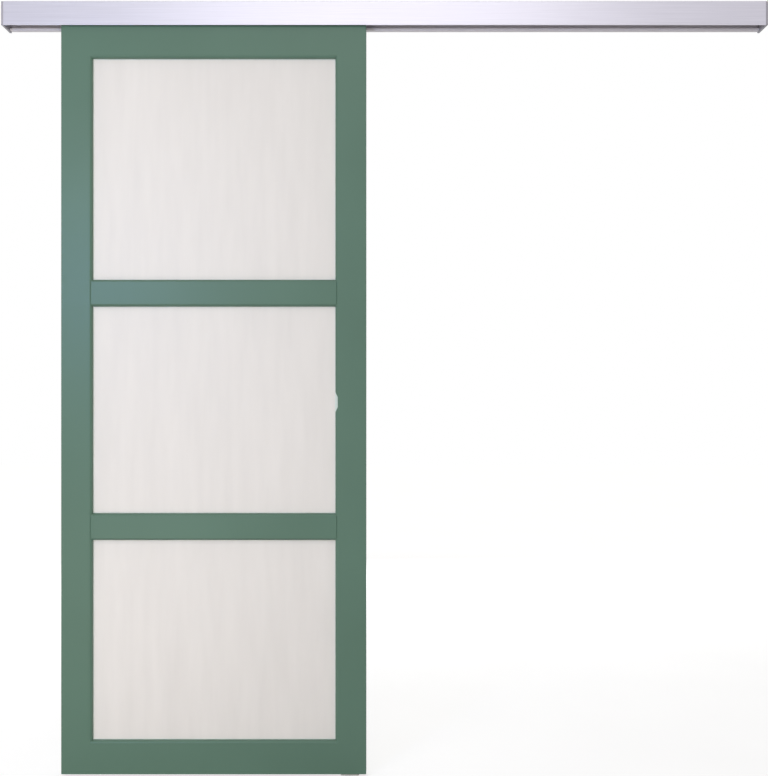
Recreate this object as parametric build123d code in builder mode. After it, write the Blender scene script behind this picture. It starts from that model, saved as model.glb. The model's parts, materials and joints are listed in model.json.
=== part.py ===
from build123d import *
import os

# A glazed sliding door: a painted timber leaf with three frosted panes hangs from two roller carriages,
# which run in an aluminium track behind a brushed fascia. Millimetres, +Z up, the front faces -Y.
# The origin lies on the wall face, at the middle of the track's row of wall screws.

# Leaf, as it stands slid open against the left stop
leaf_width = 830.0
leaf_height = 2040.0
leaf_thickness = 40.0
leaf_wall_gap = 20.0
leaf_floor_gap = 8.0
leaf_end_gap = 154.0
leaf_travel = 760.0
arris_radius = 1.5

# Timber members: the flat of each face, and the moulding and rebate that run round every pane
stile_face = 78.0
outer_rail_face = 85.0
mid_rail_face = 61.0
lower_pane_sight = 545.0
middle_pane_sight = 564.0
moulding_width = 6.0
moulding_depth = 9.0
moulding_bulge = 1.6
quirk_depth = 0.8
joint_vee = 3.5
glazing_lip = 14.0
rebate_depth = 12.0
dowel_radius = 5.0
dowel_length = 80.0
dowel_spacing = 26.0
dowel_chamfer = 1.0
glue_gap = 0.1
dowel_end_gap = 2.0

# Finger pull cut through the right stile's front lip
pull_height = 1012.0
pull_mouth = 55.0
pull_flat = 27.0
pull_depth = 6.6
pull_round = 5.0

# Glazing
glass_thickness = 6.0
glass_edge_gap = 3.0
seal_thickness = 1.5
seal_showing = 1.5
setting_block_length = 60.0
setting_block_inset = 110.0

# Track extrusion
track_length = 2068.0
flange_thickness = 3.0
screw_above_foot = 15.5
foot_height = 6.5
foot_depth = 14.0
foot_wall = 2.0
lip_thickness = 3.0
lip_clearance = 2.5
channel_wall = 2.5
channel_half_width = 15.5
slot_half_width = 7.0
web_thickness = 3.0
wheel_head_room = 4.7
wall_hole_radius = 2.75
wall_hole_inset = 84.0
wall_hole_count = 6
port_radius = 4.0
port_hole_radius = 1.7
port_drop = 2.6
rear_port_offset = 12.0
front_port_offset = 5.0
hook_reach = 4.2
hook_thickness = 1.8
hook_rise = 5.0

# Fascia, hooked over the track from above
fascia_thickness = 2.0
fascia_gap = 8.0
fascia_overlap = 5.0
fascia_drop = 3.0
fascia_flange_depth = 26.0
fascia_tongue_width = 1.4
fascia_tongue_depth = 1.0
fascia_edge_radius = 0.6
clip_gap = 0.3

# End caps
end_cap_thickness = 6.0
end_cap_radius = 2.0
end_cap_rim_radius = 1.0
cap_screw_radius = 1.6
cap_screw_head_radius = 3.1
cap_screw_length = 18.0
cap_hole_gap = 0.3

# Hanger brackets on the leaf's top edge
carriage_inset = 170.0
hanger_length = 110.0
hanger_width = 30.0
hanger_height = 14.0
hanger_sheet = 3.0
hanger_foot = 22.0
hanger_bend = 1.0
hanger_corner = 5.0
hanger_slot_gap = 0.3
hanger_hole_gap = 0.3
hanger_screw_spread = 16.0
wood_screw_radius = 2.0
wood_screw_length = 32.0
wood_screw_tip = 6.0
wood_screw_head_radius = 3.9
wood_screw_head_height = 2.4
pilot_gap = 0.05

# Hanger bolt and lock nut
bolt_radius = 4.0
bolt_head_height = 5.3
hex_across_flats = 13.0
nut_height = 6.5
thread_gap = 0.05
bolt_end_chamfer = 0.8

# Roller carriages
carriage_length = 72.0
carriage_height = 19.0
carriage_half_width = 6.5
carriage_nose_radius = 5.0
carriage_edge_radius = 1.0
boss_radius = 5.0
boss_height = 0.5
axle_spacing = 44.0
axle_radius = 3.0
axle_head_radius = 4.6
axle_head_height = 1.0
axle_gap = 0.05
wheel_radius = 12.0
wheel_width = 6.2
wheel_hub_radius = 5.2
wheel_rim = 2.8
wheel_web = 3.4
wheel_edge_radius = 0.6
wheel_side_gap = 0.3
wheel_track_gap = 0.3

# Track stops
stop_length = 40.0
stop_height = 22.0
stop_side_gap = 0.5
stop_edge = 1.5
stop_screw_radius = 3.0
stop_screw_spacing = 20.0
stop_socket_flats = 3.0
stop_socket_depth = 4.0
buffer_radius = 6.0
buffer_length = 10.0
buffer_stem_radius = 3.0
buffer_stem_length = 6.0
buffer_dome = 2.5
buffer_gap = 0.3

# Floor guide
guide_inset = 45.0
guide_base_length = 50.0
guide_base_front = 48.0
guide_base_wall_gap = 1.0
guide_base_thickness = 5.0
guide_base_corner = 6.0
guide_fin_length = 30.0
guide_fin_width = 8.0
guide_fin_engagement = 12.0
guide_fin_edge = 0.8
guide_side_gap = 0.4
guide_top_gap = 3.0
guide_hole_radius = 2.25
guide_hole_spacing = 28.0
guide_hole_from_wall = 9.0
guide_sink_radius = 4.4

# Screw heads are sunk at this angle, and every cut runs this far past the face it opens
sink_angle = 90.0
overrun = 1.0

# Levels, from the wall screws at zero
foot_top = -screw_above_foot
foot_bottom = foot_top - foot_height
fascia_bottom = foot_bottom - fascia_drop
leaf_top = fascia_bottom + fascia_overlap
leaf_bottom = leaf_top - leaf_height
floor_level = leaf_bottom - leaf_floor_gap
hanger_top = leaf_top + hanger_height
nut_top = hanger_top + nut_height
lip_bottom = nut_top + lip_clearance
lip_top = lip_bottom + lip_thickness
wheel_level = lip_top + wheel_track_gap + wheel_radius
web_bottom = wheel_level + wheel_radius + wheel_head_room
track_top = web_bottom + web_thickness
fascia_top = track_top + fascia_thickness

# Depths, from the wall at zero
leaf_back = -leaf_wall_gap
leaf_front = leaf_back - leaf_thickness
leaf_middle = leaf_back - leaf_thickness / 2
fascia_back = leaf_front - fascia_gap
fascia_front = fascia_back - fascia_thickness
channel_front = leaf_middle - channel_half_width - channel_wall
web_front = fascia_back + clip_gap
glass_front = leaf_front + glazing_lip + seal_thickness
glass_back = glass_front + glass_thickness
bead_front = glass_back + seal_thickness
port_level = web_bottom - port_drop
ports = [(-rear_port_offset, port_level), (web_front + front_port_offset, port_level)]

# Places along the track
track_left = -track_length / 2
track_right = track_length / 2
leaf_left = track_left + leaf_end_gap
leaf_right = leaf_left + leaf_width
leaf_centre = leaf_left + leaf_width / 2
carriage_places = {"left": leaf_left + carriage_inset, "right": leaf_right - carriage_inset}
guide_place = leaf_right - guide_inset

# Members of the leaf's frame, measured up from its bottom edge
stile_sight = stile_face + moulding_width
stile_bearing = stile_sight - rebate_depth
outer_rail_sight = outer_rail_face + moulding_width
mid_rail_sight = mid_rail_face + 2 * moulding_width
lower_rail_centre = outer_rail_sight + lower_pane_sight + mid_rail_sight / 2
upper_rail_centre = lower_rail_centre + mid_rail_sight + middle_pane_sight
upper_pane_bottom = upper_rail_centre + mid_rail_sight / 2
upper_pane_sight = leaf_height - outer_rail_sight - upper_pane_bottom
pane_width_sight = leaf_width - 2 * stile_sight
rail_left = leaf_left + stile_bearing
rail_right = leaf_right - stile_bearing
rail_length = rail_right - rail_left
pane_sights = {"lower": lower_pane_sight, "middle": middle_pane_sight, "upper": upper_pane_sight}
pane_centres = {
    "lower": leaf_bottom + outer_rail_sight + lower_pane_sight / 2,
    "middle": leaf_bottom + lower_rail_centre + mid_rail_sight / 2 + middle_pane_sight / 2,
    "upper": leaf_bottom + upper_pane_bottom + upper_pane_sight / 2,
}
rail_web_centres = [
    leaf_bottom + (outer_rail_sight - rebate_depth) / 2,
    leaf_bottom + lower_rail_centre,
    leaf_bottom + upper_rail_centre,
    leaf_top - (outer_rail_sight - rebate_depth) / 2,
]
dowel_level = leaf_front + (glazing_lip + leaf_thickness) / 2
groove_width = guide_fin_width + 2 * guide_side_gap
groove_depth = guide_fin_engagement + guide_top_gap

os.makedirs("parts", exist_ok=True)


def keep(part, name):
    """Label a finished piece and write it to its own file."""
    part.label = name
    export_step(part, f"parts/{name}.step")


def block(x_range, y_range, z_range, mode=Mode.ADD):
    """A box between the given limits on each axis."""
    limits = (x_range, y_range, z_range)
    middle = tuple((low + high) / 2 for low, high in limits)
    with Locations(middle):
        Box(*(high - low for low, high in limits), mode=mode)


def strip(y_range, z_range, mode=Mode.ADD):
    """A rectangle of a section seen along the track, between the given limits."""
    (back, front), (low, high) = y_range, z_range
    with Locations(((back + front) / 2, (low + high) / 2)):
        Rectangle(abs(front - back), high - low, mode=mode)


def member_section(plane, face):
    """Section of a frame member: x runs from its outer edge towards the glass, y from front to back."""
    sight = face + moulding_width
    bearing = sight - rebate_depth
    with BuildSketch(plane) as section:
        with BuildLine():
            Polyline((0, 0), (face, 0), (face, quirk_depth))
            SagittaArc((face, quirk_depth), (sight, moulding_depth), -moulding_bulge)
            Polyline(
                (sight, moulding_depth),
                (sight, glazing_lip),
                (bearing, glazing_lip),
                (bearing, leaf_thickness),
                (0, leaf_thickness),
                (0, 0),
            )
        make_face()
    return section.sketch


def dowel_spots(joint_places, web_centres):
    """Middles of the dowel pairs that cross the joints between stiles and rails."""
    offsets = (-dowel_spacing / 2, dowel_spacing / 2)
    return [(x, dowel_level, z + offset) for x in joint_places for z in web_centres for offset in offsets]


def cut_dowel_holes(joint_places, web_centres):
    """Holes for the dowels, with room for glue round them and at their ends."""
    with Locations(*dowel_spots(joint_places, web_centres)):
        Cylinder(
            dowel_radius + glue_gap,
            dowel_length + 2 * dowel_end_gap,
            rotation=(0, 90, 0),
            mode=Mode.SUBTRACT,
        )


def cut_guide_groove():
    """Groove along the leaf's bottom edge that the floor guide runs in."""
    block(
        (leaf_left - overrun, leaf_right + overrun),
        (leaf_middle - groove_width / 2, leaf_middle + groove_width / 2),
        (leaf_bottom - overrun, leaf_bottom + groove_depth),
        mode=Mode.SUBTRACT,
    )


def hanger_screw_spots(side):
    """Places of a hanger bracket's four wood screws on the leaf's top edge."""
    reach = hanger_length / 2 - hanger_foot / 2
    return [
        (carriage_places[side] + along, leaf_middle + across)
        for along in (-reach, reach)
        for across in (-hanger_screw_spread / 2, hanger_screw_spread / 2)
    ]


# Stiles: full height, moulded and rebated towards the panes
with BuildPart() as left_stile:
    foot_plane = Plane(origin=(leaf_left, leaf_front, leaf_bottom), x_dir=(1, 0, 0), z_dir=(0, 0, 1))
    extrude(member_section(foot_plane, stile_face), amount=leaf_height)
    fillet(left_stile.edges().filter_by(Axis.Z).group_by(Axis.X)[0], radius=arris_radius)
    cut_dowel_holes([rail_left], rail_web_centres)
    cut_guide_groove()
keep(left_stile.part, "left_stile")

with BuildPart() as right_stile:
    head_plane = Plane(origin=(leaf_right, leaf_front, leaf_top), x_dir=(-1, 0, 0), z_dir=(0, 0, -1))
    extrude(member_section(head_plane, stile_face), amount=leaf_height)
    fillet(right_stile.edges().filter_by(Axis.Z).group_by(Axis.X)[-1], radius=arris_radius)
    cut_dowel_holes([rail_right], rail_web_centres)
    cut_guide_groove()
    # The pull is a shallow scoop with rounded corners, through the lip in front of the glass
    pull_plane = Plane(
        origin=(leaf_right - stile_sight, leaf_front - overrun, leaf_bottom + pull_height),
        x_dir=(0, 0, 1),
        z_dir=(0, 1, 0),
    )
    with BuildSketch(pull_plane) as pull:
        with BuildLine():
            Polyline(
                (-pull_mouth / 2, -overrun),
                (-pull_mouth / 2, 0),
                (-pull_flat / 2, pull_depth),
                (pull_flat / 2, pull_depth),
                (pull_mouth / 2, 0),
                (pull_mouth / 2, -overrun),
                close=True,
            )
        make_face()
        fillet(pull.vertices().group_by(Axis.Y)[-1], radius=pull_round)
    extrude(amount=glazing_lip + 2 * overrun, mode=Mode.SUBTRACT)
keep(right_stile.part, "right_stile")


# Rails: run between the stiles' rebates, with ends scribed over the stiles' moulding
def rail_half(level, face, upward):
    """One edge of a rail, from the given level up or down to the glass."""
    if upward:
        plane = Plane(origin=(rail_right, leaf_front, level), x_dir=(0, 0, 1), z_dir=(-1, 0, 0))
    else:
        plane = Plane(origin=(rail_left, leaf_front, level), x_dir=(0, 0, -1), z_dir=(1, 0, 0))
    extrude(member_section(plane, face), amount=rail_length)


def scribe_rail_ends():
    """Fit a rail's ends to the stiles."""
    add(left_stile.part, mode=Mode.SUBTRACT)
    add(right_stile.part, mode=Mode.SUBTRACT)


def cut_joint_vees():
    """Bevel the front of a rail's ends, which leaves a vee beside the stiles' moulding."""
    for stile_edge, inward in ((leaf_left, 1), (leaf_right, -1)):
        vee_edge = stile_edge + inward * (stile_face + joint_vee)
        vee_reach = joint_vee + overrun
        with BuildSketch(Plane.XY.offset(leaf_bottom)) as vee:
            with BuildLine():
                Polyline(
                    (vee_edge + inward * overrun, leaf_front - overrun),
                    (vee_edge - inward * vee_reach, leaf_front - overrun),
                    (vee_edge - inward * vee_reach, leaf_front + vee_reach),
                    close=True,
                )
            make_face()
        extrude(vee.sketch, amount=leaf_height, mode=Mode.SUBTRACT)


with BuildPart() as bottom_rail:
    rail_half(leaf_bottom, outer_rail_face, upward=True)
    scribe_rail_ends()
    cut_dowel_holes([rail_left, rail_right], rail_web_centres[:1])
    cut_guide_groove()
keep(bottom_rail.part, "bottom_rail")

mid_rail_levels = {
    "lower_mid_rail": leaf_bottom + lower_rail_centre,
    "upper_mid_rail": leaf_bottom + upper_rail_centre,
}
for rail_name, rail_level in mid_rail_levels.items():
    with BuildPart() as mid_rail:
        rail_half(rail_level, mid_rail_face / 2, upward=True)
        rail_half(rail_level, mid_rail_face / 2, upward=False)
        scribe_rail_ends()
        cut_joint_vees()
        cut_dowel_holes([rail_left, rail_right], [rail_level])
    keep(mid_rail.part, rail_name)

with BuildPart() as top_rail:
    rail_half(leaf_top, outer_rail_face, upward=False)
    scribe_rail_ends()
    cut_dowel_holes([rail_left, rail_right], rail_web_centres[-1:])
    # Pilot holes for the hanger brackets' screws
    pilots = hanger_screw_spots("left") + hanger_screw_spots("right")
    with Locations(*[(x, y, leaf_top) for x, y in pilots]):
        Cylinder(
            wood_screw_radius + pilot_gap,
            wood_screw_length,
            align=(Align.CENTER, Align.CENTER, Align.MAX),
            mode=Mode.SUBTRACT,
        )
keep(top_rail.part, "top_rail")

with BuildPart() as frame_dowels:
    with Locations(*dowel_spots([rail_left, rail_right], rail_web_centres)):
        Cylinder(dowel_radius, dowel_length, rotation=(0, 90, 0))
    chamfer(frame_dowels.edges().filter_by(GeomType.CIRCLE), length=dowel_chamfer)
keep(frame_dowels.part, "frame_dowels")

# Glazing: each pane stands on setting blocks, between seals, held from behind by mitred beads
pane_half_width = pane_width_sight / 2 + rebate_depth
bite = rebate_depth - glass_edge_gap


def seal_frame(pane, front):
    """Flat seal round a pane, from the glass edge to just past the sight line."""
    sight = pane_sights[pane]
    plane = Plane(origin=(leaf_centre, front, pane_centres[pane]), x_dir=(1, 0, 0), z_dir=(0, 1, 0))
    with BuildPart() as seal:
        with BuildSketch(plane):
            Rectangle(pane_width_sight + 2 * bite, sight + 2 * bite)
            Rectangle(pane_width_sight - 2 * seal_showing, sight - 2 * seal_showing, mode=Mode.SUBTRACT)
        extrude(amount=seal_thickness)
    return seal.part


def bead_piece(pane, inward):
    """Glazing bead on the side of a pane from which the given direction points inward."""
    inward = Vector(*inward)
    along = inward.cross(Vector(0, 1, 0))
    half_height = pane_sights[pane] / 2 + rebate_depth
    reach = abs(inward.X) * pane_half_width + abs(inward.Z) * half_height
    half_length = abs(inward.X) * half_height + abs(inward.Z) * pane_half_width
    middle = Vector(leaf_centre, leaf_front, pane_centres[pane]) - inward * reach
    shoulder = rebate_depth - moulding_width
    bead_start = bead_front - leaf_front
    with BuildPart() as bead:
        with BuildSketch(Plane(origin=middle, x_dir=inward, z_dir=along)):
            with BuildLine():
                Polyline(
                    (shoulder, leaf_thickness - quirk_depth),
                    (shoulder, leaf_thickness),
                    (0, leaf_thickness),
                    (0, bead_start),
                    (rebate_depth, bead_start),
                    (rebate_depth, leaf_thickness - moulding_depth),
                )
                SagittaArc(
                    (rebate_depth, leaf_thickness - moulding_depth),
                    (shoulder, leaf_thickness - quirk_depth),
                    -moulding_bulge,
                )
            make_face()
        extrude(amount=half_length, both=True)
        # Mitred ends
        with BuildSketch(Plane(origin=middle, x_dir=along, z_dir=(0, 1, 0))):
            with BuildLine():
                Polyline(
                    (-half_length, 0),
                    (half_length, 0),
                    (half_length - rebate_depth, rebate_depth),
                    (rebate_depth - half_length, rebate_depth),
                    close=True,
                )
            make_face()
        extrude(amount=leaf_thickness, mode=Mode.INTERSECT)
    return bead.part


bead_sides = {"left": (1, 0, 0), "top": (0, 0, -1), "right": (-1, 0, 0), "bottom": (0, 0, 1)}
for pane_name, pane_sight in pane_sights.items():
    with BuildPart() as pane:
        block(
            (leaf_centre - pane_width_sight / 2 - bite, leaf_centre + pane_width_sight / 2 + bite),
            (glass_front, glass_back),
            (
                pane_centres[pane_name] - pane_sight / 2 - bite,
                pane_centres[pane_name] + pane_sight / 2 + bite,
            ),
        )
    keep(pane.part, f"{pane_name}_pane")
    keep(seal_frame(pane_name, glass_front - seal_thickness), f"{pane_name}_front_seal")
    keep(seal_frame(pane_name, glass_back), f"{pane_name}_rear_seal")
    for side_name, inward_direction in bead_sides.items():
        keep(bead_piece(pane_name, inward_direction), f"{pane_name}_{side_name}_bead")

with BuildPart() as setting_blocks:
    for pane_name, pane_sight in pane_sights.items():
        rebate_floor = pane_centres[pane_name] - pane_sight / 2 - rebate_depth
        for place in (rail_left + setting_block_inset, rail_right - setting_block_inset):
            block(
                (place - setting_block_length / 2, place + setting_block_length / 2),
                (glass_front - seal_thickness, bead_front),
                (rebate_floor, rebate_floor + glass_edge_gap),
            )
keep(setting_blocks.part, "setting_blocks")

# Track: wall flange with a hollow foot, top web, and the channel whose lips carry the wheels
with BuildPart() as track_rail:
    with BuildSketch(Plane.YZ.offset(track_left)) as track_section:
        strip((0, -flange_thickness), (foot_bottom, track_top))
        strip((0, -foot_depth), (foot_bottom, foot_top))
        strip((0, web_front), (web_bottom, track_top))
        for side in (1, -1):
            wall_inside = leaf_middle + side * channel_half_width
            strip((wall_inside, wall_inside + side * channel_wall), (lip_bottom, track_top))
            strip((leaf_middle + side * slot_half_width, wall_inside), (lip_bottom, lip_top))
        # Hook that the fascia's leg drops behind
        strip((channel_front, channel_front - hook_reach), (lip_bottom, lip_bottom + hook_thickness))
        strip(
            (channel_front - hook_reach + hook_thickness, channel_front - hook_reach),
            (lip_bottom, lip_bottom + hook_rise),
        )
        # Screw ports for the end caps
        with Locations(*ports):
            Circle(port_radius)
            Circle(port_hole_radius, mode=Mode.SUBTRACT)
        strip(
            (-flange_thickness, foot_wall - foot_depth),
            (foot_bottom + foot_wall, foot_top - foot_wall),
            mode=Mode.SUBTRACT,
        )
        # Groove for the tongue of the fascia's top flange
        tongue_back = fascia_front + fascia_flange_depth
        strip(
            (tongue_back + clip_gap, tongue_back - fascia_tongue_width - clip_gap),
            (track_top - fascia_tongue_depth - clip_gap, track_top + overrun),
            mode=Mode.SUBTRACT,
        )
    extrude(amount=track_length)
    hole_row_start = track_left + wall_hole_inset
    wall_hole_pitch = (track_length - 2 * wall_hole_inset) / (wall_hole_count - 1)
    wall_holes = [(hole_row_start + index * wall_hole_pitch, 0, 0) for index in range(wall_hole_count)]
    with Locations(*wall_holes):
        Cylinder(
            wall_hole_radius,
            2 * (flange_thickness + overrun),
            rotation=(90, 0, 0),
            mode=Mode.SUBTRACT,
        )
keep(track_rail.part, "track_rail")

# Fascia: front plate, top flange with a tongue, and a leg that hooks the track's front
with BuildPart() as fascia:
    with BuildSketch(Plane.YZ.offset(track_left)) as fascia_section:
        strip((fascia_back, fascia_front), (fascia_bottom, fascia_top))
        strip((fascia_front + fascia_flange_depth, fascia_front), (track_top, fascia_top))
        strip(
            (tongue_back, tongue_back - fascia_tongue_width),
            (track_top - fascia_tongue_depth, track_top),
        )
        leg_bottom = lip_bottom + hook_rise + clip_gap
        leg_back = channel_front - clip_gap
        strip((leg_back, fascia_back), (leg_bottom, leg_bottom + hook_thickness))
        strip(
            (leg_back, leg_back - hook_thickness),
            (lip_bottom + hook_thickness + clip_gap, leg_bottom),
        )
        fillet(fascia_section.vertices().group_by(Axis.X)[0], radius=fascia_edge_radius)
    extrude(amount=track_length)
keep(fascia.part, "fascia")

# End caps close the track and fascia, each held by two countersunk screws in the ports
sink_depth = cap_screw_head_radius - cap_screw_radius


def end_cap(inner_face, outward):
    """Plate over one end of the track, with countersunk holes that face outward along X."""
    plane = Plane(origin=(inner_face, 0, 0), x_dir=(0, outward, 0), z_dir=(outward, 0, 0))
    with BuildPart() as cap:
        with BuildSketch(plane) as outline:
            with Locations((outward * fascia_front / 2, (fascia_bottom + fascia_top) / 2)):
                Rectangle(-fascia_front, fascia_top - fascia_bottom)
            front_corners = outline.vertices().group_by(Axis.X)[0 if outward > 0 else -1]
            fillet(front_corners, radius=end_cap_radius)
        extrude(amount=end_cap_thickness)
        outer_face = cap.faces().sort_by(Axis.X)[-1 if outward > 0 else 0]
        fillet(outer_face.edges(), radius=end_cap_rim_radius)
        with Locations(plane.offset(end_cap_thickness)):
            with Locations(*[(outward * y, z) for y, z in ports]):
                CounterSinkHole(
                    cap_screw_radius + cap_hole_gap,
                    cap_screw_head_radius + cap_hole_gap,
                    counter_sink_angle=sink_angle,
                )
    return cap.part


keep(end_cap(track_right, 1), "right_end_cap")
keep(end_cap(track_left, -1), "left_end_cap")

with BuildPart() as cap_screw:
    with BuildSketch(Plane.XZ):
        with BuildLine():
            Polyline(
                (0, 0),
                (cap_screw_head_radius, 0),
                (cap_screw_radius, -sink_depth),
                (cap_screw_radius, cap_screw_radius - cap_screw_length),
                (0, -cap_screw_length),
                close=True,
            )
        make_face()
    revolve(axis=Axis.Z)

with BuildPart() as end_cap_screws:
    for outward in (1, -1):
        cap_face = outward * (track_length / 2 + end_cap_thickness)
        with Locations(*[Location((cap_face, y, z), (0, outward * 90, 0)) for y, z in ports]):
            add(cap_screw.part)
keep(end_cap_screws.part, "end_cap_screws")

# Hanger brackets: folded hats screwed to the leaf's top edge, slotted from the front for the bolt
hat_half = hanger_length / 2 - hanger_foot
for side_name, place in carriage_places.items():
    with BuildPart() as hanger:
        with BuildSketch(Plane.XZ.offset(-leaf_middle)) as hat:
            with BuildLine():
                Polyline(
                    (place - hanger_length / 2, leaf_top),
                    (place - hat_half + hanger_sheet, leaf_top),
                    (place - hat_half + hanger_sheet, hanger_top - hanger_sheet),
                    (place + hat_half - hanger_sheet, hanger_top - hanger_sheet),
                    (place + hat_half - hanger_sheet, leaf_top),
                    (place + hanger_length / 2, leaf_top),
                    (place + hanger_length / 2, leaf_top + hanger_sheet),
                    (place + hat_half, leaf_top + hanger_sheet),
                    (place + hat_half, hanger_top),
                    (place - hat_half, hanger_top),
                    (place - hat_half, leaf_top + hanger_sheet),
                    (place - hanger_length / 2, leaf_top + hanger_sheet),
                    close=True,
                )
            make_face()
        extrude(amount=hanger_width / 2, both=True)
        bends = hanger.edges().filter_by(Axis.Y)
        inner_bends = bends.group_by(Axis.Z)[2] + bends.group_by(Axis.Z)[1].sort_by(Axis.X)[1:-1]
        outer_bends = bends.group_by(Axis.Z)[-1] + bends.group_by(Axis.Z)[0].sort_by(Axis.X)[1:-1]
        fillet(inner_bends, radius=hanger_bend)
        fillet(outer_bends, radius=hanger_bend + hanger_sheet)
        corners = hanger.edges().filter_by(Axis.Z)
        fillet(corners.group_by(Axis.X)[0] + corners.group_by(Axis.X)[-1], radius=hanger_corner)
        with BuildSketch(Plane.XY.offset(hanger_top)):
            slot_radius = bolt_radius + hanger_slot_gap
            with Locations((place, leaf_middle)):
                Circle(slot_radius)
            with Locations((place, leaf_middle - hanger_width / 4 - overrun / 2)):
                Rectangle(2 * slot_radius, hanger_width / 2 + overrun)
        extrude(amount=-hanger_sheet, mode=Mode.SUBTRACT)
        with Locations(*[(x, y, leaf_top + hanger_sheet) for x, y in hanger_screw_spots(side_name)]):
            Hole(wood_screw_radius + hanger_hole_gap, depth=hanger_sheet)
    keep(hanger.part, f"{side_name}_hanger")

with BuildPart() as wood_screw:
    with BuildSketch(Plane.XZ):
        with BuildLine():
            Polyline(
                (wood_screw_head_radius, 0),
                (wood_screw_radius, 0),
                (wood_screw_radius, wood_screw_tip - wood_screw_length),
                (0, -wood_screw_length),
                (0, wood_screw_head_height),
                (wood_screw_radius, wood_screw_head_height),
            )
            RadiusArc(
                (wood_screw_radius, wood_screw_head_height),
                (wood_screw_head_radius, 0),
                wood_screw_head_radius,
            )
        make_face()
    revolve(axis=Axis.Z)

with BuildPart() as hanger_screws:
    with Locations(*[(x, y, leaf_top + hanger_sheet) for x, y in pilots]):
        add(wood_screw.part)
keep(hanger_screws.part, "hanger_screws")

# Hanger bolts stand up through the brackets into the carriages, and the lock nuts sit on the brackets
bolt_seat = hanger_top - hanger_sheet
bolt_end = wheel_level + carriage_height / 2
for side_name, place in carriage_places.items():
    with BuildPart() as hanger_bolt:
        with BuildSketch(Plane(origin=(place, leaf_middle, bolt_seat), x_dir=(1, 0, 0), z_dir=(0, 0, 1))):
            RegularPolygon(hex_across_flats / 2, side_count=6, major_radius=False)
        extrude(amount=-bolt_head_height)
        with BuildSketch(Plane(origin=(place, leaf_middle, bolt_seat), x_dir=(1, 0, 0), z_dir=(0, 0, 1))):
            Circle(bolt_radius)
        extrude(amount=bolt_end - bolt_seat)
        bolt_tip = hanger_bolt.edges().filter_by(GeomType.CIRCLE).sort_by(Axis.Z)[-1]
        chamfer(bolt_tip, length=bolt_end_chamfer)
    keep(hanger_bolt.part, f"{side_name}_hanger_bolt")

with BuildPart() as lock_nuts:
    with BuildSketch(Plane.XY.offset(hanger_top)):
        with Locations(*[(place, leaf_middle) for place in carriage_places.values()]):
            RegularPolygon(hex_across_flats / 2, side_count=6, major_radius=False)
            Circle(bolt_radius + thread_gap, mode=Mode.SUBTRACT)
    extrude(amount=nut_height)
keep(lock_nuts.part, "lock_nuts")

# Carriages: a cast block on four wheels, two to each axle
boss_face = carriage_half_width + boss_height
wheel_inside = boss_face + wheel_side_gap
axle_head_face = wheel_inside + wheel_width + wheel_side_gap
axle_offsets = (-axle_spacing / 2, axle_spacing / 2)
for side_name, place in carriage_places.items():
    side_plane = Plane(origin=(place, leaf_middle, wheel_level), x_dir=(1, 0, 0), z_dir=(0, -1, 0))
    with BuildPart() as carriage:
        with BuildSketch(side_plane):
            RectangleRounded(carriage_length, carriage_height, carriage_nose_radius)
        extrude(amount=carriage_half_width, both=True)
        fillet(carriage.faces().filter_by(Axis.Y).edges(), radius=carriage_edge_radius)
        with BuildSketch(side_plane):
            with Locations(*[(offset, 0) for offset in axle_offsets]):
                Circle(boss_radius)
        extrude(amount=boss_face, both=True)
        with BuildSketch(side_plane):
            with Locations(*[(offset, 0) for offset in axle_offsets]):
                Circle(axle_radius + axle_gap)
        extrude(amount=boss_face + overrun, both=True, mode=Mode.SUBTRACT)
        with Locations((place, leaf_middle, wheel_level + carriage_height / 2)):
            Hole(bolt_radius + thread_gap, depth=carriage_height)
    keep(carriage.part, f"{side_name}_carriage")

    with BuildPart() as axles:
        with BuildSketch(side_plane):
            with Locations(*[(offset, 0) for offset in axle_offsets]):
                Circle(axle_radius)
        extrude(amount=axle_head_face, both=True)
        for direction in (1, -1):
            with BuildSketch(side_plane.offset(direction * axle_head_face)):
                with Locations(*[(offset, 0) for offset in axle_offsets]):
                    Circle(axle_head_radius)
            extrude(amount=direction * axle_head_height)
    keep(axles.part, f"{side_name}_axles")

# Wheel: hub, thinner web and rim, turned about its own axle line
with BuildPart() as wheel:
    with BuildSketch(Plane.XY) as wheel_section:
        with BuildLine():
            Polyline(
                (axle_radius + axle_gap, -wheel_width / 2),
                (wheel_hub_radius, -wheel_width / 2),
                (wheel_hub_radius, -wheel_web / 2),
                (wheel_radius - wheel_rim, -wheel_web / 2),
                (wheel_radius - wheel_rim, -wheel_width / 2),
                (wheel_radius, -wheel_width / 2),
                (wheel_radius, wheel_width / 2),
                (wheel_radius - wheel_rim, wheel_width / 2),
                (wheel_radius - wheel_rim, wheel_web / 2),
                (wheel_hub_radius, wheel_web / 2),
                (wheel_hub_radius, wheel_width / 2),
                (axle_radius + axle_gap, wheel_width / 2),
                close=True,
            )
        make_face()
        fillet(wheel_section.vertices().group_by(Axis.X)[-1], radius=wheel_edge_radius)
    revolve(axis=Axis.Y)

for side_name, place in carriage_places.items():
    wheel_number = 0
    for offset in axle_offsets:
        for across in (-1, 1):
            wheel_number += 1
            wheel_middle = leaf_middle + across * (wheel_inside + wheel_width / 2)
            with BuildPart() as placed_wheel:
                with Locations((place + offset, wheel_middle, wheel_level)):
                    add(wheel.part)
            keep(placed_wheel.part, f"{side_name}_wheel_{wheel_number}")

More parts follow.
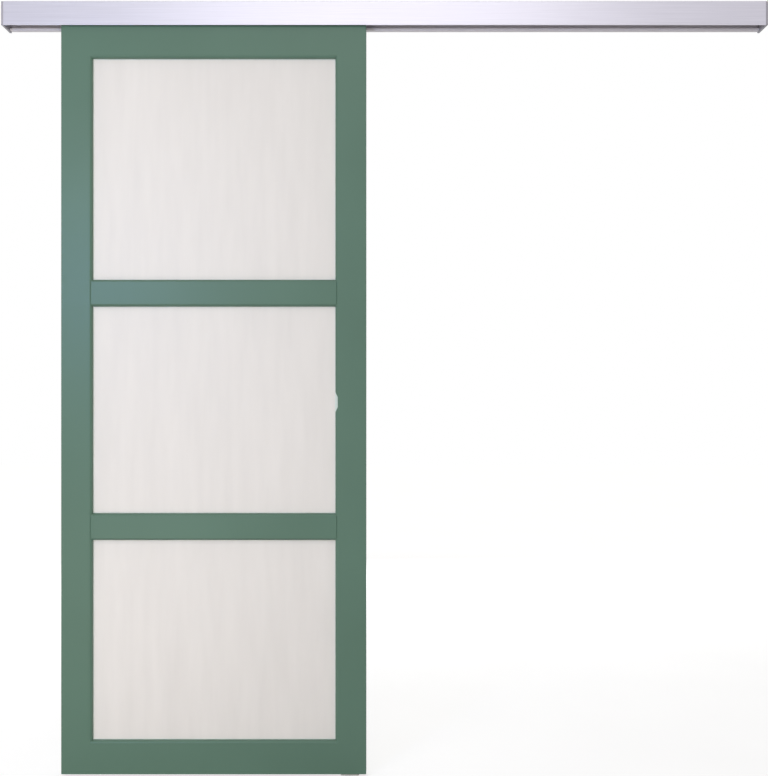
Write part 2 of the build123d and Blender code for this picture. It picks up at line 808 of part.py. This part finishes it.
# Stops: blocks on the channel's lips, jacked against the web by set screws, with rubber buffers
nose_reach = carriage_length / 2 + buffer_gap
buffer_faces = {
    "left": carriage_places["left"] - nose_reach,
    "right": carriage_places["right"] + leaf_travel + nose_reach,
}
stop_outward = {"left": -1, "right": 1}
stop_half_width = channel_half_width - stop_side_gap
stop_screw_spots = []
for side_name, buffer_face in buffer_faces.items():
    outward = stop_outward[side_name]
    stop_face = buffer_face + outward * buffer_length
    stop_middle = stop_face + outward * stop_length / 2
    screw_places = (stop_middle - stop_screw_spacing / 2, stop_middle + stop_screw_spacing / 2)
    screw_spots = [(x, leaf_middle) for x in screw_places]
    stop_screw_spots += screw_spots
    buffer_plane = Plane(
        origin=(stop_face, leaf_middle, wheel_level), x_dir=(0, 1, 0), z_dir=(outward, 0, 0)
    )
    with BuildPart() as stop:
        block(
            (stop_middle - stop_length / 2, stop_middle + stop_length / 2),
            (leaf_middle - stop_half_width, leaf_middle + stop_half_width),
            (lip_top, lip_top + stop_height),
        )
        chamfer(stop.edges().filter_by(Axis.Z), length=stop_edge)
        with Locations(*[(x, y, lip_top + stop_height) for x, y in screw_spots]):
            Hole(stop_screw_radius + thread_gap, depth=stop_height)
        with BuildSketch(buffer_plane):
            Circle(buffer_stem_radius + thread_gap)
        extrude(amount=buffer_stem_length, mode=Mode.SUBTRACT)
    keep(stop.part, f"{side_name}_stop")

    with BuildPart() as buffer:
        with BuildSketch(buffer_plane):
            Circle(buffer_radius)
        extrude(amount=-buffer_length)
        dome_edge = buffer.edges().filter_by(GeomType.CIRCLE).sort_by(Axis.X)[0 if outward > 0 else -1]
        fillet(dome_edge, radius=buffer_dome)
        with BuildSketch(buffer_plane):
            Circle(buffer_stem_radius)
        extrude(amount=buffer_stem_length)
    keep(buffer.part, f"{side_name}_buffer")

with BuildPart() as stop_screws:
    with BuildSketch(Plane.XY.offset(lip_top)):
        with Locations(*stop_screw_spots):
            Circle(stop_screw_radius)
    extrude(amount=web_bottom - lip_top)
    with BuildSketch(Plane.XY.offset(lip_top)):
        with Locations(*stop_screw_spots):
            RegularPolygon(stop_socket_flats / 2, side_count=6, major_radius=False)
    extrude(amount=stop_socket_depth, mode=Mode.SUBTRACT)
keep(stop_screws.part, "stop_screws")

# Floor guide: a base screwed down behind the leaf, with a fin that stands in the leaf's groove
with BuildPart() as floor_guide:
    with BuildSketch(Plane.XY.offset(floor_level)):
        base_depth = guide_base_front - guide_base_wall_gap
        with Locations((guide_place, -guide_base_wall_gap - base_depth / 2)):
            RectangleRounded(guide_base_length, base_depth, guide_base_corner)
    extrude(amount=guide_base_thickness)
    base_top = floor_level + guide_base_thickness
    with BuildSketch(Plane.XY.offset(base_top)):
        with Locations((guide_place, leaf_middle)):
            SlotOverall(guide_fin_length, guide_fin_width)
    fin_height = leaf_floor_gap + guide_fin_engagement - guide_base_thickness
    extrude(amount=fin_height)
    fillet(floor_guide.faces().sort_by(Axis.Z)[-1].edges(), radius=guide_fin_edge)
    hole_places = (guide_place - guide_hole_spacing / 2, guide_place + guide_hole_spacing / 2)
    with Locations(*[(x, -guide_hole_from_wall, base_top) for x in hole_places]):
        CounterSinkHole(
            guide_hole_radius,
            guide_sink_radius,
            depth=guide_base_thickness,
            counter_sink_angle=sink_angle,
        )
keep(floor_guide.part, "floor_guide")
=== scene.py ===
import json
import math

import bmesh
import bpy
from mathutils import Matrix, Vector


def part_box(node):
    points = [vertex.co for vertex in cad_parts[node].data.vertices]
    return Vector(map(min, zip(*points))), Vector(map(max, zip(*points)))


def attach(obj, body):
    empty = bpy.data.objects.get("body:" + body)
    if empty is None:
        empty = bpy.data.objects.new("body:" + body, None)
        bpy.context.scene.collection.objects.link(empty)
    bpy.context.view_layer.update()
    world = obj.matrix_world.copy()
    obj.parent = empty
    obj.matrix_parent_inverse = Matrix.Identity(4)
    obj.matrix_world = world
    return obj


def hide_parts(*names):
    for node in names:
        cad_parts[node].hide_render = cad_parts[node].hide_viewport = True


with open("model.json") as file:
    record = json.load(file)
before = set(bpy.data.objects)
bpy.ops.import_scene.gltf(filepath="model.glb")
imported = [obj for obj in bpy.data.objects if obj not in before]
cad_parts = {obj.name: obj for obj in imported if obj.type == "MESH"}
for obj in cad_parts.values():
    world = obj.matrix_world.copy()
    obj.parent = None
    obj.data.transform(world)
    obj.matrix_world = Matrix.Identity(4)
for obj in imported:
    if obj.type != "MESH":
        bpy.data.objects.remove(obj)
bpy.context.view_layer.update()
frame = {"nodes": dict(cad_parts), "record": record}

# A glazed sliding door: finishes for the leaf, the track and the hardware, the small pieces that only
# the eye needs, and a plain white studio. Metres, +Z up, the front faces -Y.

MM = 0.001

# Camera, level and square to the leaf, for an image of 768 by 776 pixels
IMAGE_HEIGHT_PX = 776
LEAF_MM_PER_PX = 2.72
CAMERA_DISTANCE = 3000 * MM
CAMERA_ASIDE = -1.6 * MM
CAMERA_ABOVE_LEAF_FOOT = 1050.7 * MM
SENSOR_MM = 36.0

# Cross-recessed countersunk screws in the end caps
SCREW_SEGMENTS = 32
SCREW_SHANK_RADIUS = 1.6 * MM
SCREW_LENGTH = 18 * MM
SCREW_TIP_RADIUS = 0.2 * MM
RECESS_ARM = 3.4 * MM
RECESS_WIDTH = 0.8 * MM
RECESS_DEPTH = 1.1 * MM
RECESS_TAPER = 0.6
CUT_TOLERANCE = 0.001 * MM

# Studio: light from all round, and the floor, whose glow rises between two distances from the origin; the
# dimmer glow near the object is painted shade
FILL_LIGHT = 0.46
FLOOR_REACH = 12.0
NEAR_FLOOR, FAR_FLOOR = 2.3, 4.6
NEAR_GLOW, FAR_GLOW = 0.66, 0.82

# Softboxes: place, target, width and height, watts, tint, and whether the light is polarised
SOFTBOXES = {
    "front_softbox": ((0.1, -3.7, -0.6), (0.1, 0, -0.6), (1.2, 0.5), 30, "#fffaf6", True),
    "upper_key_softbox": ((-1.0, -1.4, -0.23), (-1.0, 0, -0.23), (0.5, 0.4), 4.4, "#fff8f2", True),
    "lower_key_softbox": ((-1.0, -1.4, -1.75), (-1.0, 0, -1.75), (0.5, 0.4), 4.9, "#fff8f2", True),
    "panel_softbox": ((-1.22, -3.1, -0.9), (-0.6, 0, -0.9), (1.35, 2.2), 8, "#fff9f6", False),
    "window_softbox": ((-1.5, -3.0, -0.45), (-0.7, 0, -0.75), (0.4, 0.35), 14.5, "#90beff", False),
    "rail_softbox": ((-0.03, -3.2, 1.08), (-0.03, 0, 0), (2.2, 0.5), 8.5, "#ffffff", False),
    "back_softbox": ((-0.7, 3.6, -0.6), (-0.4, 0, -0.9), (2.0, 1.6), 76, "#f8fbff", True),
}

# Places read from the model
LEAF_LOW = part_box("left_stile")[0]
FLOOR_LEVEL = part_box("floor_guide")[0].z


def colour(hex_value):
    """Linear colour of an sRGB hex value."""
    channels = [int(hex_value[i:i + 2], 16) / 255 for i in (1, 3, 5)]
    linear = [c / 12.92 if c <= 0.04045 else ((c + 0.055) / 1.055) ** 2.4 for c in channels]
    return (*linear, 1.0)


def node(tree, kind, inputs, **settings):
    """Add a shader node. An input is a value, an output, or a node whose first live output is linked."""
    made = tree.nodes.new("ShaderNode" + kind)
    for name, value in settings.items():
        setattr(made, name, value)
    for name, value in inputs.items():
        if isinstance(value, bpy.types.Node):
            value = next(output for output in value.outputs if output.enabled)
        if isinstance(value, bpy.types.NodeSocket):
            tree.links.new(value, made.inputs[name])
        else:
            made.inputs[name].default_value = value
    return made


def new_finish(name):
    """An empty material, its node tree and the place on the piece that its patterns follow."""
    material = bpy.data.materials.new(name)
    material.use_nodes = True
    tree = material.node_tree
    tree.nodes.clear()
    return material, tree, node(tree, "TexCoord", {}).outputs["Object"]


def per_mm(*sizes):
    """Pattern scale for marks of these sizes in millimetres."""
    return [1 / (size * MM) for size in sizes]


def satin_green_enamel():
    # Satin enamel rolled on timber: an even grey-green, a soft sheen and a slight orange peel.
    # The real peel is about 1.5 mm wide, drawn at 8 mm so that it shows.
    material, tree, place = new_finish("satin_green_enamel")
    cloud = node(tree, "TexNoise", {"Vector": place, "Scale": 1 / (350 * MM), "Detail": 2.0})
    peel = node(tree, "TexNoise", {"Vector": place, "Scale": 1 / (8 * MM), "Detail": 1.0})
    green = node(tree, "Mix", {0: cloud, 6: colour("#516e5d"), 7: colour("#5a7968")}, data_type="RGBA")
    sheen = node(tree, "MapRange", {"Value": peel, "To Min": 0.32, "To Max": 0.4})
    relief = node(tree, "Bump", {"Height": peel, "Strength": 0.05, "Distance": 0.1 * MM})
    shader = node(tree, "BsdfPrincipled", {"Base Color": green, "Roughness": sheen, "Normal": relief,
                                           "Specular IOR Level": 0.4})
    node(tree, "OutputMaterial", {"Surface": shader})
    return material


def frosted_glass():
    # Laminated float glass with a milky film, etched matt: warm white, with faint upright streaks.
    material, tree, place = new_finish("frosted_laminated_glass")
    upright = node(tree, "Mapping", {"Vector": place, "Scale": per_mm(40, 40, 320)})
    streaks = node(tree, "TexNoise", {"Vector": upright, "Scale": 1.0, "Detail": 3.0, "Roughness": 0.6})
    white = node(tree, "Mix", {0: streaks, 6: colour("#e8e4de"), 7: colour("#f6f2ec")}, data_type="RGBA")
    matt = node(tree, "MapRange", {"Value": streaks, "To Min": 0.38, "To Max": 0.55})
    relief = node(tree, "Bump", {"Height": streaks, "Strength": 0.05, "Distance": 0.05 * MM})
    shader = node(tree, "BsdfPrincipled", {"Base Color": white, "Roughness": matt, "Normal": relief,
                                           "IOR": 1.52, "Transmission Weight": 0.12})
    node(tree, "OutputMaterial", {"Surface": shader})
    return material


def brushed_aluminium():
    # Aluminium brushed along its length and clear anodised: lilac white, with long fine scratches.
    # Real scratches are finer than 0.2 mm, drawn 1.5 mm wide so that they show.
    material, tree, place = new_finish("brushed_aluminium")
    along = node(tree, "Mapping", {"Vector": place, "Scale": per_mm(160, 1.5, 1.5)})
    scratches = node(tree, "TexNoise", {"Vector": along, "Scale": 1.0, "Detail": 5.0})
    tone = node(tree, "Mix", {0: scratches, 6: colour("#bbb8c3"), 7: colour("#d4d1db")}, data_type="RGBA")
    gloss = node(tree, "MapRange", {"Value": scratches, "To Min": 0.26, "To Max": 0.44})
    relief = node(tree, "Bump", {"Height": scratches, "Strength": 0.25, "Distance": 0.06 * MM})
    shader = node(tree, "BsdfPrincipled", {"Base Color": tone, "Roughness": gloss, "Normal": relief,
                                           "Metallic": 1.0})
    node(tree, "OutputMaterial", {"Surface": shader})
    return material


def extruded_aluminium():
    # Extruded aluminium, etched matt and anodised: the oxide scatters light, so that only part of the
    # look is metal, greyer than the fascia and with long die lines.
    material, tree, place = new_finish("extruded_aluminium")
    along = node(tree, "Mapping", {"Vector": place, "Scale": per_mm(1200, 2.5, 2.5)})
    lines = node(tree, "TexNoise", {"Vector": along, "Scale": 1.0, "Detail": 3.0})
    tone = node(tree, "Mix", {0: lines, 6: colour("#dcd8dc"), 7: colour("#f0ecf0")}, data_type="RGBA")
    gloss = node(tree, "MapRange", {"Value": lines, "To Min": 0.5, "To Max": 0.66})
    relief = node(tree, "Bump", {"Height": lines, "Strength": 0.15, "Distance": 0.05 * MM})
    shader = node(tree, "BsdfPrincipled", {"Base Color": tone, "Roughness": gloss, "Normal": relief,
                                           "Metallic": 0.15})
    node(tree, "OutputMaterial", {"Surface": shader})
    return material


def moulded_plastic(name, dark, light, roughness):
    # Injection-moulded plastic: one even colour with a fine spark-eroded texture.
    # The real texture is about 0.3 mm, drawn at 1.5 mm so that it shows.
    material, tree, place = new_finish(name)
    texture = node(tree, "TexNoise", {"Vector": place, "Scale": 1 / (1.5 * MM), "Detail": 3.0})
    tone = node(tree, "Mix", {0: texture, 6: colour(dark), 7: colour(light)}, data_type="RGBA")
    gloss = node(tree, "MapRange", {"Value": texture, "To Min": roughness - 0.1, "To Max": roughness + 0.1})
    relief = node(tree, "Bump", {"Height": texture, "Strength": 0.2, "Distance": 0.08 * MM})
    shader = node(tree, "BsdfPrincipled", {"Base Color": tone, "Roughness": gloss, "Normal": relief})
    node(tree, "OutputMaterial", {"Surface": shader})
    return material


def zinc_metal(name, dark, light, roughness):
    # Zinc, plated on steel or cast: bright grey with a soft uneven lustre.
    material, tree, place = new_finish(name)
    lustre = node(tree, "TexNoise", {"Vector": place, "Scale": 1 / (4 * MM), "Detail": 4.0})
    tone = node(tree, "Mix", {0: lustre, 6: colour(dark), 7: colour(light)}, data_type="RGBA")
    gloss = node(tree, "MapRange", {"Value": lustre, "To Min": roughness - 0.12, "To Max": roughness + 0.12})
    relief = node(tree, "Bump", {"Height": lustre, "Strength": 0.15, "Distance": 0.05 * MM})
    shader = node(tree, "BsdfPrincipled", {"Base Color": tone, "Roughness": gloss, "Normal": relief,
                                           "Metallic": 1.0})
    node(tree, "OutputMaterial", {"Surface": shader})
    return material


def glazing_tape_painted_rim():
    # Translucent glazing tape, soft and slightly uneven; its pale green-white is a painted highlight round
    # each pane, as if lit through the glass edge.
    material, tree, place = new_finish("glazing_tape_painted_rim")
    uneven = node(tree, "TexNoise", {"Vector": place, "Scale": 1 / (25 * MM), "Detail": 2.0})
    tone = node(tree, "Mix", {0: uneven, 6: colour("#dbe6de"), 7: colour("#eaf2ec")}, data_type="RGBA")
    shader = node(tree, "BsdfPrincipled", {"Base Color": tone, "Roughness": 0.55, "Transmission Weight": 0.1})
    node(tree, "OutputMaterial", {"Surface": shader})
    return material


def beech_wood():
    # Turned beech: pale brown with fine fibres along the dowel.
    material, tree, place = new_finish("turned_beech")
    along = node(tree, "Mapping", {"Vector": place, "Scale": per_mm(40, 1.2, 1.2)})
    fibres = node(tree, "TexNoise", {"Vector": along, "Scale": 1.0, "Detail": 4.0})
    tone = node(tree, "Mix", {0: fibres, 6: colour("#a98157"), 7: colour("#d6b68c")}, data_type="RGBA")
    relief = node(tree, "Bump", {"Height": fibres, "Strength": 0.3, "Distance": 0.1 * MM})
    shader = node(tree, "BsdfPrincipled", {"Base Color": tone, "Roughness": 0.62, "Normal": relief})
    node(tree, "OutputMaterial", {"Surface": shader})
    return material


finishes = {
    "green_paint": satin_green_enamel(),
    "frosted_glass": frosted_glass(),
    "brushed_aluminium": brushed_aluminium(),
    "mill_aluminium": extruded_aluminium(),
    "cap_plastic": moulded_plastic("moulded_grey_abs", "#9c9aa2", "#b2b0b6", 0.5),
    "glazing_seal": glazing_tape_painted_rim(),
    "zinc_steel": zinc_metal("zinc_plated_steel", "#a9a9a4", "#cfcfc9", 0.34),
    "die_cast": zinc_metal("die_cast_zinc", "#86878a", "#a8a9ab", 0.5),
    "wheel_nylon": moulded_plastic("natural_nylon", "#d8d4c4", "#ebe8dc", 0.42),
    "guide_nylon": moulded_plastic("grey_nylon", "#c9c9c5", "#dededb", 0.42),
    "buffer_rubber": moulded_plastic("black_rubber", "#121212", "#242424", 0.75),
    "beech": beech_wood(),
    "setting_plastic": moulded_plastic("blue_setting_plastic", "#34437e", "#4a5994", 0.5),
}


def dress_model():
    """Give every piece of the model the finish of its slot."""
    for row in frame["record"]["subparts"]:
        mesh = frame["nodes"][row["node"]].data
        mesh.materials.clear()
        mesh.materials.append(finishes[row["material_slot"]])


def add_piece(name, shape, finish):
    """A mesh object made from a bmesh, at the origin."""
    mesh = bpy.data.meshes.new(name)
    shape.to_mesh(mesh)
    shape.free()
    mesh.materials.append(finish)
    piece = bpy.data.objects.new(name, mesh)
    bpy.context.collection.objects.link(piece)
    return piece


def only(kind, parts):
    """The parts of one kind, out of what a bmesh operator gives back."""
    return [part for part in parts if isinstance(part, kind)]


def sort_by_place(parts, place):
    """Put the points or faces of a bmesh in a fixed order: extruding lists them in a new one each run."""
    for index, part in enumerate(sorted(parts, key=place)):
        part.index = index
    parts.sort()


def countersunk_screw(head_radius):
    """One cross-recessed screw, its head face up at the origin."""
    shape = bmesh.new()
    disc = bmesh.ops.create_circle(shape, cap_ends=True, segments=SCREW_SEGMENTS, radius=head_radius)
    head_face = disc["verts"][0].link_faces[0]
    rim = list(head_face.edges)
    steps = [
        (SCREW_SHANK_RADIUS, SCREW_SHANK_RADIUS - head_radius),
        (SCREW_SHANK_RADIUS, SCREW_SHANK_RADIUS - SCREW_LENGTH),
        (SCREW_TIP_RADIUS, -SCREW_LENGTH),
    ]
    radius, level = head_radius, 0.0
    for next_radius, next_level in steps:
        drawn = bmesh.ops.extrude_edge_only(shape, edges=rim)["geom"]
        ring = only(bmesh.types.BMVert, drawn)
        rim = [edge for edge in only(bmesh.types.BMEdge, drawn) if all(end in ring for end in edge.verts)]
        shrink = next_radius / radius
        bmesh.ops.scale(shape, verts=ring, vec=(shrink, shrink, 1))
        bmesh.ops.translate(shape, verts=ring, vec=(0, 0, next_level - level))
        radius, level = next_radius, next_level
    bmesh.ops.edgeloop_fill(shape, edges=rim)
    # The recess is a cross cut out of the head face and sunk with tapered walls
    cut = [head_face]
    for offset in (-RECESS_ARM / 2, -RECESS_WIDTH / 2, RECESS_WIDTH / 2, RECESS_ARM / 2):
        for normal in ((1, 0, 0), (0, 1, 0)):
            around = {part for face in cut for part in (face, *face.edges, *face.verts)}
            halves = bmesh.ops.bisect_plane(shape, geom=list(around), dist=CUT_TOLERANCE,
                                            plane_co=Vector(normal) * offset, plane_no=normal)
            cut = only(bmesh.types.BMFace, halves["geom"])
    cross = []
    for face in cut:
        near, far = sorted(abs(along) for along in face.calc_center_median().xy)
        if near < RECESS_WIDTH / 2 and far < RECESS_ARM / 2:
            cross.append(face)
    sunk = bmesh.ops.extrude_face_region(shape, geom=cross)["geom"]
    bmesh.ops.delete(shape, geom=cross, context="FACES")
    bottom = only(bmesh.types.BMVert, sunk)
    bmesh.ops.scale(shape, verts=bottom, vec=(RECESS_TAPER, RECESS_TAPER, 1))
    bmesh.ops.translate(shape, verts=bottom, vec=(0, 0, -RECESS_DEPTH))
    bmesh.ops.recalc_face_normals(shape, faces=shape.faces)
    return shape


def add_end_cap_screws():
    """The four screws that hold the end caps, heads outward on both ends."""
    low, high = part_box("end_cap_screws")
    head_radius = (high.z - low.z) / 2
    level = (low.z + high.z) / 2
    shape = countersunk_screw(head_radius)
    pattern = shape.verts[:] + shape.edges[:] + shape.faces[:]
    for x, turn in ((low.x, -90), (high.x, 90)):
        outward = Matrix.Rotation(math.radians(turn), 4, "Y")
        for y in (low.y + head_radius, high.y - head_radius):
            copied = bmesh.ops.duplicate(shape, geom=pattern)["geom"]
            place = Matrix.Translation((x, y, level)) @ outward
            bmesh.ops.transform(shape, matrix=place, verts=only(bmesh.types.BMVert, copied))
    bmesh.ops.delete(shape, geom=only(bmesh.types.BMVert, pattern), context="VERTS")
    sort_by_place(shape.verts, lambda point: point.co[:])
    sort_by_place(shape.faces, lambda face: face.calc_center_median()[:])
    piece = add_piece("cross_recess_screws", shape, finishes["zinc_steel"])
    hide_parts("end_cap_screws")
    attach(piece, "track")


def seen_by_eye(tree):
    """One for rays from the eye, also by way of gloss and glass, and zero for the rest."""
    rays = node(tree, "LightPath", {}).outputs
    seen = node(tree, "Math", {0: rays["Is Camera Ray"], 1: rays["Is Glossy Ray"]}, operation="MAXIMUM")
    return node(tree, "Math", {0: seen, 1: rays["Is Transmission Ray"]}, operation="MAXIMUM")


def add_studio():
    """Pale floor that keeps the shadow, and a white surround that the eye sees, also in gloss and glass."""
    shape = bmesh.new()
    bmesh.ops.create_grid(shape, x_segments=1, y_segments=1, size=FLOOR_REACH)
    bmesh.ops.translate(shape, verts=shape.verts, vec=(0, 0, FLOOR_LEVEL))
    paper, tree, place = new_finish("white_paper_floor")
    fibre = node(tree, "TexNoise", {"Vector": place, "Scale": 1 / (400 * MM)})
    white = node(tree, "Mix", {0: fibre, 6: colour("#acacac"), 7: colour("#b4b4b4")}, data_type="RGBA")
    matt = node(tree, "BsdfDiffuse", {"Color": white})
    # The floor glows less round the object, so that the cast shadow shows there: the dimmer glow is painted
    # shade round the object
    away = node(tree, "VectorMath", {0: place}, operation="LENGTH")
    level = node(tree, "MapRange", {"Value": away, "From Min": NEAR_FLOOR, "From Max": FAR_FLOOR,
                                    "To Min": NEAR_GLOW, "To Max": FAR_GLOW})
    level = node(tree, "Math", {0: seen_by_eye(tree), 1: level}, operation="MULTIPLY")
    glow = node(tree, "Emission", {"Color": colour("#ffffff"), "Strength": level})
    both = node(tree, "AddShader", {0: matt, 1: glow})
    node(tree, "OutputMaterial", {"Surface": both})
    add_piece("studio_floor", shape, paper)

    world = bpy.data.worlds.new("white_surround")
    bpy.context.scene.world = world
    world.use_nodes = True
    tree = world.node_tree
    tree.nodes.clear()
    white = node(tree, "Background", {"Color": colour("#ffffff"), "Strength": 1.0})
    fill = node(tree, "Background", {"Color": colour("#faf6f1"), "Strength": FILL_LIGHT})
    either = node(tree, "MixShader", {0: seen_by_eye(tree), 1: fill, 2: white})
    node(tree, "OutputWorld", {"Surface": either})


def add_softbox(name, place, target, size, power, tint, polarised):
    """Studio light that points at the target. A polarised one shows in neither gloss nor glass."""
    lamp = bpy.data.lights.new(name, "AREA")
    lamp.shape = "RECTANGLE"
    lamp.size, lamp.size_y = size
    lamp.energy = power
    lamp.color = colour(tint)[:3]
    box = bpy.data.objects.new(name, lamp)
    box.location = place
    box.rotation_euler = (Vector(target) - Vector(place)).to_track_quat("-Z", "Y").to_euler()
    box.visible_camera = False
    box.visible_glossy = not polarised
    box.visible_transmission = not polarised
    bpy.context.collection.objects.link(box)


def add_camera():
    """Level camera, square to the leaf."""
    data = bpy.data.cameras.new("studio_camera")
    data.sensor_width = SENSOR_MM
    data.lens = SENSOR_MM * CAMERA_DISTANCE / (IMAGE_HEIGHT_PX * LEAF_MM_PER_PX * MM)
    camera = bpy.data.objects.new("studio_camera", data)
    camera.location = (CAMERA_ASIDE, LEAF_LOW.y - CAMERA_DISTANCE, LEAF_LOW.z + CAMERA_ABOVE_LEAF_FOOT)
    camera.rotation_euler = (math.radians(90), 0, 0)
    bpy.context.collection.objects.link(camera)
    bpy.context.scene.camera = camera


dress_model()
add_end_cap_screws()
add_studio()
for name, settings in SOFTBOXES.items():
    add_softbox(name, *settings)
add_camera()

bpy.context.scene.view_settings.view_transform = "Standard"
